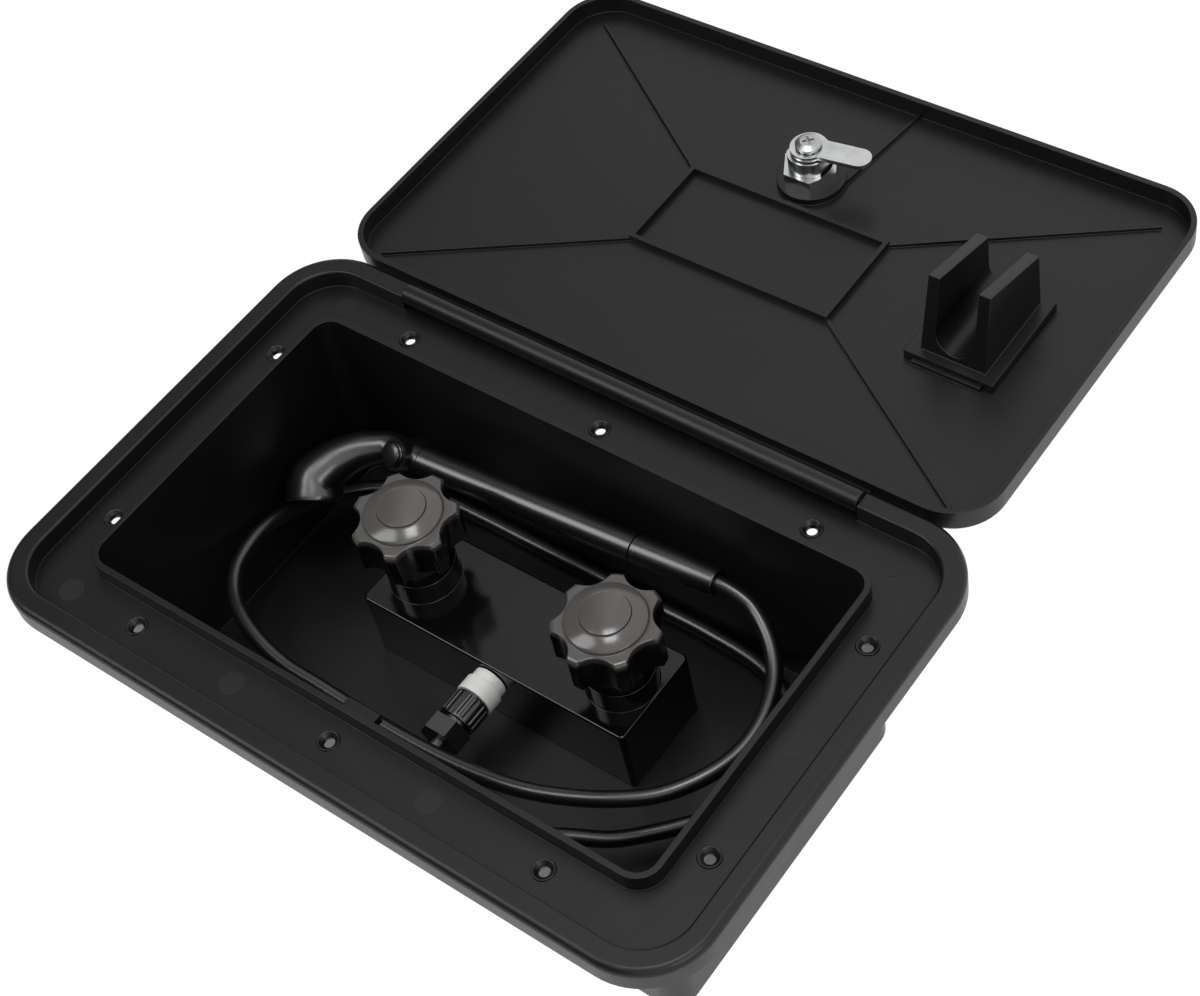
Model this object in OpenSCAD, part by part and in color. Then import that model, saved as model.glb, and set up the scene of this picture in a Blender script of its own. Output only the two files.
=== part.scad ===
// Exterior shower box for a caravan wall: flange and pocket, hinged door with a cam lock and a
// shower clip, two-handle faucet, hose and hand shower. Lengths are in millimetres. The wall plane
// is z = 0, +Z points out of the wall, X runs along the hinge. The door is drawn fully open.

/* [Flange] */
// Width of the flange, along the hinge
flange_w = 335; // [330:1:350]
// Height of the flange, across the hinge
flange_h = 211; // [208:1:224]
// Corner radius of the flange
flange_r = 30; // [26:1:34]
// Thickness of the flange plate
plate_t = 2.5; // [2:0.1:3]
// Width of the raised rim band
rim_w = 9.5; // [8.5:0.1:10.5]
// Height of the rim band above the wall
rim_h = 10.9; // [10.6:0.1:11.4]
// Rounding of the rim's outer edge
rim_round = 3; // [1:0.5:3.5]
// Wall thickness on both sides of the groove under the rim
rim_wall = 3; // [2.2:0.1:3.2]

/* [Pocket] */
// Inner width of the pocket
pocket_w = 269.7; // [268:0.1:276]
// Inner height of the pocket
pocket_h = 143.7; // [142:0.1:150]
// Inner corner radius of the pocket
pocket_r = 8; // [5:0.5:14]
// Depth of the pocket behind the wall plane
pocket_depth = 86; // [84:1:100]
// Wall thickness of the pocket
wall_t = 2.5; // [2:0.1:3]
// Height of the pocket's lip above the wall plane
lip_h = 10.4; // [8:0.1:10.8]

/* [Wall screws] */
// Distance of the screw rows from the flange's edge
screw_inset = 21.5; // [20:0.5:23]
// Distance between the outer screws of a long side
screw_long = 200; // [160:5:230]
// Distance between the screws of a short side
screw_short = 100; // [60:5:120]
// Clearance hole of a wall screw
screw_hole = 4.2; // [3.5:0.1:4.8]
// Countersink diameter of a wall screw
screw_sink = 7.6; // [6.5:0.1:8.2]
// Diameter of the boss round a screw hole
boss_d = 8.9; // [8.6:0.1:10]
// Height of that boss above the flange plate
boss_h = 0.8; // [0.4:0.1:1.4]

/* [Hinge] */
// Distance of the hinge axis from the flange's edge
hinge_inset = 5.5; // [5:0.1:6]
// Height of the hinge axis above the wall plane
hinge_z = 9; // [8.8:0.1:9.2]
// Length of the gap in the rim that takes the hinge barrel
hinge_len = 225; // [180:1:240]
// Diameter of the hinge barrel
barrel_d = 8.6; // [7:0.1:9]
// Diameter of the hinge pin
pin_d = 2.2; // [1.8:0.1:2.4]
// Length of the pin held in the rim at each end
pin_grip = 8; // [5:0.5:12]

/* [Door] */
// Gap between the closed door and the rim
door_gap = 1.1; // [0.8:0.1:2]
// Gap between the closed door and the rim at the hinge side
door_back_gap = 2.3; // [1.8:0.1:2.6]
// Corner radius of the door
door_r = 22; // [20:0.5:26]
// Depth of the door from its outer face to the edge of its rim
door_depth = 10.7; // [9.5:0.1:11.4]
// Distance of the door's outer face from the hinge axis
door_drop = 6.5; // [6.2:0.1:6.9]
// Thickness of the door panel and of its rim
door_t = 2.5; // [2:0.1:2.8]
// Rounding of the door's outer edge
door_round = 2; // [0.5:0.5:2]
// Height of the stiffening ribs
rib_h = 1.5; // [0.8:0.1:1.8]
// Thickness of the stiffening ribs
rib_t = 1.6; // [1:0.1:2.4]
// Width of the rectangle of ribs
rib_w = 97; // [70:1:110]
// Height of the rectangle of ribs
rib_l = 46; // [36:1:50]

/* [Lock] */
// Distance of the lock axis from the pocket's front wall, with the door closed
lock_back = 33.3; // [32:0.1:34]
// Diameter of the lock barrel
lock_d = 19; // [18:0.1:19.4]
// Length of the lock barrel behind the door panel
lock_len = 17.3; // [16:0.1:19]
// Diameter of the lock's flange outside the door
lock_head_d = 22; // [21:0.5:26]
// Thickness of that flange
lock_head_h = 1.6; // [1:0.1:2]
// Diameter of the key plug
plug_d = 12.6; // [11:0.1:13]
// Width across the flats of the lock nut
lock_nut_af = 22; // [22:0.1:25]
// Height of the lock nut
lock_nut_h = 7; // [5:0.5:8]
// Diameter of the moulded boss under the nut
lock_boss_d = 30; // [27:0.5:34]
// Height of that boss
lock_boss_h = 3; // [2:0.5:4]
// Length of the cam from the lock axis to its tip
cam_len = 28.2; // [27.6:0.1:29.5]
// Width of the cam arm
cam_w = 10.5; // [8:0.5:12]
// Thickness of the cam
cam_t = 2; // [1.6:0.1:2.4]
// Angle of the unlocked cam from the hinge direction
cam_angle = 9; // [0:1:20]
// Depth of the strike ledge that the cam catches
strike_d = 7.5; // [7:0.1:8.5]
// Width of the strike ledge
strike_w = 15.5; // [12:0.5:24]

/* [Shower clip] */
// Place of the clip along the hinge direction
clip_x = 106; // [100:0.5:108]
// Distance from the hinge axis to the front of the clip's foot
clip_near = 72; // [70:0.5:76]
// Width of the clip's foot
foot_w = 40; // [37:0.5:42]
// Length of the clip's foot
foot_l = 50; // [46:0.5:54]
// Height of the clip's foot
foot_h = 4; // [3.4:0.1:4.6]
// Outer width of the two clip walls
clip_w = 27; // [25:0.5:32]
// Thickness of a clip wall
clip_t = 5; // [3:0.5:5.5]
// Length of the clip walls
clip_l = 36; // [30:0.5:38]
// Height of the clip walls above the panel at the front
clip_h = 39.5; // [34:0.5:41]
// Drop of the wall tops from the front to the back
clip_fall = 10; // [0:0.5:14]
// Width of the moulded rail under the foot
rail_w = 31; // [26:0.5:33]

/* [Faucet] */
// Distance between the two valves
valve_pitch = 101.6; // [95:0.1:102]
// Place of the faucet across the pocket
faucet_y = 16.5; // [14:0.5:18]
// Length of the faucet block
block_w = 134; // [130:1:138]
// Depth of the faucet block
block_d = 45; // [42:0.5:46]
// Height of the faucet block above the pocket floor
block_h = 36; // [34:0.5:37]
// Corner radius of the faucet block
block_r = 2.5; // [2:0.5:20]
// Rounding of the block's top edge
block_round = 1; // [0.5:0.5:2]
// Diameter of a valve tower
tower_d = 30; // [26:0.5:30]
// Height of a valve tower
tower_h = 11; // [9:0.5:12]
// Diameter of the valve bore
valve_d = 16; // [14:0.5:17]
// Diameter of the water passages
water_d = 7; // [5:0.5:8]
// Outer diameter of an inlet shank
shank_d = 20.9; // [20:0.1:21.3]
// Length of a shank behind the pocket
shank_len = 29; // [24:1:40]
// Width across the flats of a shank nut
shank_nut_af = 32; // [30:0.5:36]
// Height of a shank nut
shank_nut_h = 9; // [6:0.5:12]
// Outer diameter of the rubber washer under that nut
shank_seal_d = 36; // [34:0.5:40]
// Thickness of the rubber washer
shank_seal_t = 2; // [1.5:0.1:3]

/* [Knobs] */
// Outer diameter of a knob
knob_d = 45; // [40:0.5:46]
// Number of grip lobes on a knob
knob_lobes = 7; // [6:1:9]
// Radius of the hollows between the lobes
flute_r = 10; // [7:0.1:12]
// Depth of the hollows between the lobes
flute_in = 4.8; // [3:0.1:5.2]
// Height of a knob's grip skirt
knob_h = 18; // [12:0.5:19]
// Gap between the bonnet and the knob
knob_gap = 5; // [3:0.5:6]
// Diameter of the raised cap ring
cap_d = 33; // [30:0.5:34]
// Height of the domed cap
cap_h = 5.6; // [5:0.1:6]
// Height of the cap at its edge
cap_edge = 1.4; // [1:0.1:2]
// Diameter of the index button
index_d = 20; // [16:0.5:22]
// Diameter of a valve stem
stem_d = 8; // [7:0.1:9]
// Diameter of the splined stem end in the knob
spline_d = 7; // [6:0.1:7.5]
// Width across the flats of a valve bonnet
bonnet_af = 20; // [18:0.5:22]

/* [Outlet] */
// Height of the outlet above the pocket floor
outlet_h = 26.5; // [24:0.5:28]
// Outer diameter of the pipe necks of the outlet
neck_d = 12; // [11:0.1:13]
// Diameter of the white collar
collar_d = 16.8; // [16:0.1:19]
// Length of the white collar
collar_l = 11.6; // [11:0.1:13]
// Diameter of the ribbed coupling
coupling_d = 16.6; // [16:0.1:18]
// Length of the ribbed coupling
coupling_l = 11.7; // [11:0.1:12.5]
// Width across the flats of the hose nut
hose_nut_af = 17; // [16.5:0.1:19]
// Length of the hose nut
hose_nut_l = 8; // [7.4:0.1:9]
// Thickness of the rubber washers at the hose ends
seal_t = 1.2; // [0.8:0.1:1.4]

/* [Hose and hand shower] */
// Outer diameter of the hose
hose_d = 6.8; // [6:0.1:7]
// Diameter of the hand shower's handle
handle_d = 13; // [12:0.1:13.5]
// Water bore of the handle
handle_bore = 7; // [5:0.5:8]
// Length of the sleeve at the hose end of the handle
sleeve_l = 38.5; // [36:0.5:46]
// Diameter of the sleeve's mouth
sleeve_end_d = 11.4; // [10.5:0.1:12]
// Diameter of the spray face
face_d = 26; // [22:0.5:26.5]
// Thickness of the spray plate
plate_spray_t = 2; // [1.5:0.1:3]
// Diameter of the flow button's guide
guide_d = 14; // [13:0.1:14.6]
// Diameter of the flow button
button_d = 10.6; // [9:0.1:11]
// Travel of the flow button
button_travel = 2.5; // [1.5:0.1:2.8]

/* [Hidden] */

$fn = 48;
cut = 1;              // overshoot of a cutting solid
run_clear = 0.05;     // radial clearance of a piece that turns
fit_clear = 0.1;      // radial clearance of a piece that is fitted and stays

satin_black = [0.13, 0.13, 0.14];
gloss_black = [0.05, 0.05, 0.055];
smoke_grey = [0.38, 0.38, 0.39];
bright_zinc = [0.78, 0.78, 0.76];
rubber_black = [0.08, 0.08, 0.08];

// Flange, pocket and hinge
floor_z = -pocket_depth;
rim_in_x = flange_w / 2 - rim_w;
rim_in_y = flange_h / 2 - rim_w;
hinge_y = flange_h / 2 - hinge_inset;
barrel_len = hinge_len - 0.6;
screw_x = flange_w / 2 - screw_inset;
screw_y = flange_h / 2 - screw_inset;
screw_points = [
    for (x = [-screw_long / 2, 0, screw_long / 2], y = [-screw_y, screw_y]) [x, y],
    for (x = [-screw_x, screw_x], y = [-screw_short / 2, screw_short / 2]) [x, y]
];

// Door, drawn open: it turns half a turn about the hinge axis to close
door_w = 2 * (rim_in_x - door_gap);
door_near = 2 * hinge_y - (rim_in_y - door_back_gap);
door_far = 2 * hinge_y + rim_in_y - door_gap;
door_l = door_far - door_near;
door_y = (door_far + door_near) / 2;
door_z = hinge_z - door_drop;
panel_z = door_z + door_t;
rib_mid_y = door_y - 3.7;
rib_end_x = door_w / 2 - 16;
rib_end_near = door_near + 9;
rib_end_far = door_far - 15;

// Lock, along +Z from the outer face of the door
lock_y = 2 * hinge_y + pocket_h / 2 - lock_back;
lock_face_z = door_z - lock_head_h;
lock_flat = lock_d - 2.6;
plug_lip = 0.9;
plug_lip_d = plug_d - 1.8;
barrel_top = panel_z + lock_len;
cam_z = barrel_top + 0.7;
tang_w = 7;
hub_d = 16;
star_t = 0.7;
lock_screw_d = 4;
lock_screw_head = 11.4;
lock_screw_h = 2.3;
strike_h = 4.5;
strike_z = 2 * hinge_z - cam_z + 0.5;

// Shower clip
clip_y = hinge_y + clip_near;
rail_h = foot_h / 2;

// Faucet, from the pocket floor up
block_top = floor_z + block_h;
tower_top = block_top + tower_h;
valve_floor = floor_z + 13;
outlet_z = floor_z + outlet_h;
block_front = faucet_y - block_d / 2;
nut_top = floor_z - wall_t - shank_seal_t;
shank_root_d = shank_d + 1.6;
shank_cone_h = 2;
bonnet_hex_h = 6;
bonnet_top = tower_top + bonnet_hex_h + 1.5;
disc_t = 4;
seat_t = 2;
stem_foot = valve_floor + seat_t;
knob_z = bonnet_top + knob_gap;
knob_top = knob_z + knob_h;
cap_top = knob_top + cap_h;
index_z = knob_top + 0.4;
cap_rise = cap_h - cap_edge;
cap_ball = (cap_d * cap_d / 4 + cap_rise * cap_rise) / (2 * cap_rise);
web_z = index_z - 6;
spline_top = web_z - 2.5;
knob_screw_d = 4;
knob_screw_head = 7;
index_proud = 0.2;
knob_turn = [38, 12];

// Outlet, along -Y from the block
spout_l = 9;
collar_y = block_front - 0.4;
collar_end = collar_y - collar_l;
collar_neck_l = 9;
coupling_y = collar_end - 0.3;
coupling_end = coupling_y - coupling_l;
coupling_neck_l = 6.3;
nut_y = coupling_end - 2.3;
nut_end = nut_y - hose_nut_l;
tail_flange = 1.4;
tail_y = coupling_end - coupling_neck_l - seal_t;
tail_stub_d = 5.6;

// Hand shower: its handle runs from the elbow to the mouth of the sleeve
handle_start = [-93, 54, -34];
handle_end = [68, 62, -28];
handle_len = norm(handle_end - handle_start);
handle_dir = (handle_end - handle_start) / handle_len;
elbow_at = 6.5;
button_dir = [-0.2, -0.72, 0.66];
guide_up = 8.2;
head_joint = 14.5;
spigot_l = 1.4;
spigot_socket = spigot_l + 0.8;
guide_lean = abs(unit(button_dir) * handle_dir);
neck_l = guide_d / 2 + guide_up * guide_lean + 0.3 - elbow_at;
sleeve_at = handle_len - sleeve_l;
sleeve_neck_d = 10;
hose_at = 0.9 * handle_len;
// Centre line of the head with its radius as fourth value, from the valve to the spray face
head_line = [
    [-102, 51.3, -35, 7.1], [-109, 46.5, -36.3, 8.1], [-115, 40, -38.6, 9.4],
    [-118.8, 33, -41.3, 10.9], [-120.3, 27.4, -44, 12], [-117.5, 22, -48.4, face_d / 2]
];
face_end = head_line[len(head_line) - 1];
face_at = [face_end[0], face_end[1], face_end[2]];
face_dir = [0.39, -0.69, -0.61];
face_recess = 1;
spray_rings = [[0, 1], [4, 6], [8, 12]];
// The flow button crosses the elbow at a right angle to the handle
elbow = handle_start + elbow_at * handle_dir;
guide_down = 7.6;
button_rise = 3.4;
button_skirt = 5;
spring_d = 7.6;
spring_wire = 1.2;

// Route of the hose centre line from the sleeve of the handle to the outlet
hose_route = [
    [51.9, 61.2, -28.6], [59.95, 61.6, -28.3], [68, 62, -28], [78, 62, -29.5], [86.5, 60, -31.5],
    [98, 52.5, -35], [107, 41, -38], [112.5, 25, -39.5], [112.5, 9, -41], [107, -6, -42],
    [96.5, -20.5, -43], [82, -31, -44], [64.5, -39, -46], [46.5, -44.5, -48], [24, -47.5, -50.5],
    [-0.5, -48.7, -52], [-29.5, -48.7, -52.5], [-57, -48, -52.5], [-74, -47.5, -52.5],
    [-90.5, -44.5, -52], [-107, -38.5, -51.5], [-118, -31, -51.5], [-126, -19.5, -51],
    [-130, -2, -52], [-130, 15, -57], [-126, 36, -66], [-115, 54, -74], [-96, 65, -79.5],
    [-68, 68, -82], [-38, 68, -82], [-8, 68, -82], [22, 68, -82], [52, 68, -82], [81, 65, -82],
    [103, 54, -82], [115, 36, -81], [117, 16, -79], [110, 0, -76], [101, -11.5, -74],
    [90.5, -23.5, -73], [79, -34.5, -72], [65, -43, -70], [51, -53, -66.5], [37, -62, -63],
    [23, -66.5, -60.5], [11, -63.5, -59.5], [3, -55.5, -59.5], [0, -47, -59.5],
    [0, -40.3, -59.5]
];
hose_sides = 8;
hose_ring_gap = 17;

// ---- Shared shapes ----

function unit(v) = v / norm(v);
function sum(v, i = 0) = i < len(v) ? v[i] + sum(v, i + 1) : 0;

// Point of a Catmull-Rom spline between b and c
function spline_point(a, b, c, d, t) =
    0.5 * (2 * b + (c - a) * t + (2 * a - 5 * b + 4 * c - d) * t * t
           + (3 * b - a - 3 * c + d) * t * t * t);

// Smooth path through the points, with a ring at most gap apart
function smooth_path(points, gap) = let(last = len(points) - 1) [
    for (i = [0 : last - 1])
        let(b = points[i], c = points[i + 1], a = points[max(i - 1, 0)],
            d = points[min(i + 2, last)], steps = ceil(norm(c - b) / gap))
        for (s = [0 : steps - 1]) spline_point(a, b, c, d, s / steps),
    points[last]
];

function path_tangent(path, i) =
    unit(path[min(i + 1, len(path) - 1)] - path[max(i - 1, 0)]);

function path_length(path) = sum([for (i = [1 : len(path) - 1]) norm(path[i] - path[i - 1])]);

// Ring of points round path point i, square to the path
function ring_points(path, i, r, sides) =
    let(t = path_tangent(path, i), side = unit(cross([0, 0, 1], t)), up = cross(t, side))
    [for (k = [0 : sides - 1])
        path[i] + r * (cos(360 * k / sides) * side + sin(360 * k / sides) * up)];

// One closed tube along a path, with its own radius at each point
module tube(path, radii, sides) {
    rings = len(path);
    points = [for (i = [0 : rings - 1]) each ring_points(path, i, radii[i], sides)];
    walls = [for (i = [0 : rings - 2], k = [0 : sides - 1])
        let(n = (k + 1) % sides, a = i * sides + k, b = i * sides + n)
        each [[a, a + sides, b], [b, a + sides, b + sides]]];
    first_cap = [for (k = [1 : sides - 2]) [0, k, k + 1]];
    end = (rings - 1) * sides;
    last_cap = [for (k = [1 : sides - 2]) [end, end + k + 1, end + k]];
    polyhedron(points, concat(walls, first_cap, last_cap), convexity = 10);
}

// Turns +Z to the direction dir
module aim(dir) {
    u = unit(dir);
    rotate([0, acos(u[2]), atan2(u[1], u[0])]) children();
}

// Puts +Z along the handle, at a distance from its start
module on_handle(at) {
    translate(handle_start + at * handle_dir) aim(handle_dir) children();
}

module rounded_rect(w, h, r) {
    square([w - 2 * r, h], center = true);
    square([w, h - 2 * r], center = true);
    for (x = [-1, 1], y = [-1, 1])
        translate([x * (w / 2 - r), y * (h / 2 - r)])
            circle(r);
}

// Carries a profile round a rounded rectangle: its x points outward from that outline
module ring_sweep(w, h, r) {
    for (q = [0 : 3]) {
        across = q % 2 == 0 ? w : h;
        along = q % 2 == 0 ? h : w;
        rotate([0, 0, 90 * q]) {
            translate([across / 2, 0, 0])
                rotate([90, 0, 0])
                    linear_extrude(along - 2 * r, center = true)
                        children();
            translate([across / 2 - r, along / 2 - r, 0])
                rotate_extrude(angle = 90)
                    translate([r, 0])
                        children();
        }
    }
}

// Bar on the door panel between two points
module rib(from, to) {
    translate([from[0], from[1], panel_z - 0.5])
        rotate([0, 0, atan2(to[1] - from[1], to[0] - from[0])])
            translate([0, -rib_t / 2, 0])
                cube([norm(to - from), rib_t, rib_h + 0.5]);
}

module hex(af, h) {
    cylinder(d = af / cos(30), h = h, $fn = 6);
}

// Points a child along -Y at the outlet, with its own +Z as the flow direction
module on_outlet(y) {
    translate([0, y, outlet_z]) rotate([90, 0, 0]) children();
}

module at_valve(side) {
    translate([side * valve_pitch / 2, faucet_y, 0]) children();
}

module at_lock(z) {
    translate([0, lock_y, z]) children();
}

// ---- Housing ----

module rim_profile() {
    inner_round = 1.2;
    difference() {
        union() {
            translate([-rim_w, 0]) square([rim_w, rim_h - rim_round]);
            translate([-rim_w, 0]) square([rim_w - rim_round, rim_h - inner_round]);
            translate([inner_round - rim_w, 0]) square([rim_w - rim_round - inner_round, rim_h]);
            translate([-rim_round, rim_h - rim_round]) circle(rim_round);
            translate([inner_round - rim_w, rim_h - inner_round]) circle(inner_round);
        }
        translate([rim_wall - rim_w, -cut])
            square([rim_w - 2 * rim_wall, rim_h - plate_t + cut]);
    }
}

// Solid stretch of the band that carries the hinge: it fills the groove there
module hinge_bed() {
    bed_l = hinge_len + 2 * pin_grip + 6;
    translate([-bed_l / 2, rim_in_y + 1, 0])
        cube([bed_l, rim_w - 2, rim_h - 1.5]);
}

module screw_holes() {
    head_z = plate_t + boss_h;
    for (p = screw_points)
        translate([p[0], p[1], 0]) {
            translate([0, 0, -cut]) cylinder(d = screw_hole, h = head_z + 2 * cut);
            translate([0, 0, head_z - (screw_sink - screw_hole) / 2])
                cylinder(d1 = screw_hole, d2 = screw_sink, h = (screw_sink - screw_hole) / 2);
        }
}

module lock_strike() {
    translate([-strike_w / 2, -pocket_h / 2 - wall_t / 2, strike_z])
        cube([strike_w, strike_d + wall_t / 2, strike_h]);
}

module housing() {
    plate_in = rim_w - rim_wall / 2;
    color(satin_black)
    difference() {
        union() {
            difference() {
                union() {
                    linear_extrude(plate_t)
                        rounded_rect(flange_w - 2 * plate_in, flange_h - 2 * plate_in,
                                     flange_r - plate_in);
                    ring_sweep(flange_w, flange_h, flange_r) rim_profile();
                    hinge_bed();
                    translate([0, 0, floor_z - wall_t])
                        linear_extrude(lip_h - floor_z + wall_t)
                            rounded_rect(pocket_w + 2 * wall_t, pocket_h + 2 * wall_t,
                                         pocket_r + wall_t);
                    for (p = screw_points)
                        translate([p[0], p[1], 0]) cylinder(d = boss_d, h = plate_t + boss_h);
                }
                translate([0, 0, floor_z])
                    linear_extrude(lip_h - floor_z + cut)
                        rounded_rect(pocket_w, pocket_h, pocket_r);
            }
            lock_strike();
        }
        translate([-hinge_len / 2, rim_in_y - cut, plate_t])
            cube([hinge_len, rim_w + 2 * cut, rim_h]);
        translate([0, hinge_y, hinge_z])
            rotate([0, 90, 0])
                cylinder(d = pin_d + 2 * run_clear, h = hinge_len + 2 * pin_grip + 0.4,
                         center = true);
        screw_holes();
        for (side = [-1, 1])
            at_valve(side)
                translate([0, 0, floor_z - wall_t - cut])
                    cylinder(d = shank_root_d + 2 * fit_clear, h = wall_t + 2 * cut);
    }
}

module hinge_pin() {
    color(bright_zinc)
    translate([0, hinge_y, hinge_z])
        rotate([0, 90, 0])
            cylinder(d = pin_d, h = hinge_len + 2 * pin_grip, center = true);
}

// ---- Door ----

module door_profile() {
    difference() {
        union() {
            translate([-door_round, door_round]) circle(door_round);
            translate([-door_round - door_t, 0]) square([door_t, door_depth]);
            translate([-door_t, door_round]) square([door_t, door_depth - door_round]);
        }
        translate([-door_round - 2 * door_t, door_t])
            square([door_round + door_t, door_depth]);
    }
}

module lid() {
    color(satin_black)
    difference() {
        union() {
            translate([0, door_y, door_z]) {
                linear_extrude(door_t)
                    rounded_rect(door_w - 2 * door_round, door_l - 2 * door_round,
                                 door_r - door_round);
                ring_sweep(door_w, door_l, door_r) door_profile();
            }
            translate([0, hinge_y, hinge_z])
                rotate([0, 90, 0])
                    cylinder(d = barrel_d, h = barrel_len, center = true);
            // web that joins the barrel to the door's near rim
            translate([-barrel_len / 2, hinge_y, hinge_z - 3])
                cube([barrel_len, door_near - hinge_y + door_t / 2, door_t]);
            for (s = [-1, 1]) {
                rib([-rib_w / 2, rib_mid_y + s * rib_l / 2], [rib_w / 2, rib_mid_y + s * rib_l / 2]);
                rib([s * rib_w / 2, rib_mid_y - rib_l / 2], [s * rib_w / 2, rib_mid_y + rib_l / 2]);
                rib([s * rib_w / 2, rib_mid_y - rib_l / 2], [s * rib_end_x, rib_end_near]);
                rib([s * rib_w / 2, rib_mid_y + rib_l / 2], [s * rib_end_x, rib_end_far]);
            }
            rib([lock_boss_d / 2 - 2, lock_y], [lock_boss_d / 2 + 5, door_far - door_t]);
            at_lock(panel_z - 0.5) cylinder(d = lock_boss_d, h = lock_boss_h + 0.5);
            // rail that carries the shower clip
            translate([clip_x - rail_w / 2, clip_y - 2, panel_z - 0.5])
                cube([rail_w, foot_l + 2, rail_h + 0.5]);
        }
        translate([0, hinge_y, hinge_z])
            rotate([0, 90, 0])
                cylinder(d = pin_d + 2 * run_clear, h = barrel_len + 2 * cut, center = true);
        at_lock(door_z - cut)
            cylinder(d = lock_d + 2 * fit_clear, h = door_t + lock_boss_h + 2 * cut);
    }
}

// ---- Lock ----

module lock_barrel() {
    color(bright_zinc)
    difference() {
        union() {
            at_lock(lock_face_z) cylinder(d = lock_head_d, h = lock_head_h);
            at_lock(door_z) cylinder(d = lock_d, h = barrel_top - door_z);
        }
        for (s = [-1, 1])
            at_lock(panel_z + lock_boss_h)
                translate([s * (lock_flat + lock_d) / 2, 0, lock_len / 2])
                    cube([lock_d, 2 * lock_d, lock_len + 2], center = true);
        at_lock(lock_face_z - cut)
            cylinder(d = plug_lip_d + 2 * run_clear, h = plug_lip + 2 * cut);
        at_lock(lock_face_z + plug_lip)
            cylinder(d = plug_d + 2 * run_clear, h = barrel_top - lock_face_z);
    }
}

module lock_nut() {
    color(bright_zinc)
    at_lock(panel_z + lock_boss_h)
        difference() {
            hex(lock_nut_af, lock_nut_h);
            translate([0, 0, -cut])
                cylinder(d = lock_d + 2 * fit_clear, h = lock_nut_h + 2 * cut);
        }
}

module lock_plug() {
    plug_z = lock_face_z + plug_lip + run_clear;
    color(bright_zinc)
    difference() {
        union() {
            at_lock(lock_face_z) cylinder(d = plug_lip_d, h = plug_lip + 1);
            at_lock(plug_z) cylinder(d = plug_d, h = cam_z - plug_z);
            at_lock(cam_z + cam_t / 2 - 0.1)
                rotate([0, 0, cam_angle])
                    cube([tang_w, tang_w, cam_t], center = true);
        }
        // keyway
        at_lock(lock_face_z - cut)
            translate([-0.7, -3.6, 0])
                cube([1.4, 7.2, 12 + cut]);
        at_lock(cam_z - 6.5) cylinder(d = lock_screw_d, h = cam_t + 7);
    }
}

module lock_cam() {
    color(bright_zinc)
    at_lock(cam_z)
        rotate([0, 0, cam_angle])
            difference() {
                union() {
                    cylinder(d = hub_d, h = cam_t);
                    translate([0, -cam_w / 2, 0])
                        cube([cam_len - cam_w / 2, cam_w, cam_t]);
                    translate([cam_len - cam_w / 2, 0, 0]) cylinder(d = cam_w, h = cam_t);
                }
                translate([0, 0, cam_t / 2])
                    cube([tang_w + 2 * run_clear, tang_w + 2 * run_clear, cam_t + cut],
                         center = true);
            }
}

module lock_washer() {
    color(bright_zinc)
    at_lock(cam_z + cam_t)
        difference() {
            cylinder(d = 10.4, h = star_t);
            translate([0, 0, -cut]) cylinder(d = lock_screw_d + 0.4, h = star_t + 2 * cut);
            for (k = [0 : 9])
                rotate([0, 0, 36 * k])
                    translate([5.4, 0, star_t / 2])
                        cube([2, 1.2, star_t + cut], center = true);
        }
}

module lock_screw() {
    head_z = cam_z + cam_t + star_t;
    color(bright_zinc)
    difference() {
        union() {
            at_lock(cam_z - 6) cylinder(d = lock_screw_d, h = head_z - cam_z + 6.5);
            at_lock(head_z) cylinder(d = lock_screw_head, h = lock_screw_h * 0.45);
            at_lock(head_z + lock_screw_h * 0.45)
                cylinder(d1 = lock_screw_head, d2 = lock_screw_head * 0.62,
                         h = lock_screw_h * 0.55);
        }
        for (a = [0, 90])
            at_lock(head_z + lock_screw_h)
                rotate([0, 0, a + 45])
                    cube([5, 1.1, 2.6], center = true);
    }
}

// ---- Shower clip ----

module shower_clip() {
    trough_r = clip_w / 2 - clip_t;
    color(satin_black)
    translate([clip_x, clip_y, panel_z])
        difference() {
            union() {
                translate([-foot_w / 2, 0, 0.2]) cube([foot_w, foot_l, foot_h - 0.2]);
                translate([-clip_w / 2, 0, 0])
                    rotate([90, 0, 90])
                        linear_extrude(clip_w)
                            polygon([
                                [foot_l - clip_l - 3, foot_h - 1], [foot_l - 3, foot_h - 1],
                                [foot_l - 3, clip_h - clip_fall],
                                [foot_l - clip_l - 3, clip_h]
                            ]);
            }
            // trough for the handle of the hand shower
            translate([0, -cut, foot_h + 2 + trough_r])
                rotate([-90, 0, 0])
                    cylinder(r = trough_r, h = foot_l + 2 * cut);
            translate([-trough_r, -cut, foot_h + 2 + trough_r])
                cube([2 * trough_r, foot_l + 2 * cut, clip_h]);
            // channel that slides over the door's rail
            translate([-rail_w / 2 - 0.1, -cut, -cut])
                cube([rail_w + 0.2, foot_l + 2 * cut, rail_h + 0.1 + cut]);
        }
}

// ---- Faucet ----

module block_edge_profile() {
    translate([-block_round, -block_round]) circle(block_round);
    translate([-2 * block_round, -2 * block_round]) square([block_round, 2 * block_round]);
    translate([-2 * block_round, -2 * block_round]) square([2 * block_round, block_round]);
}

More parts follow.
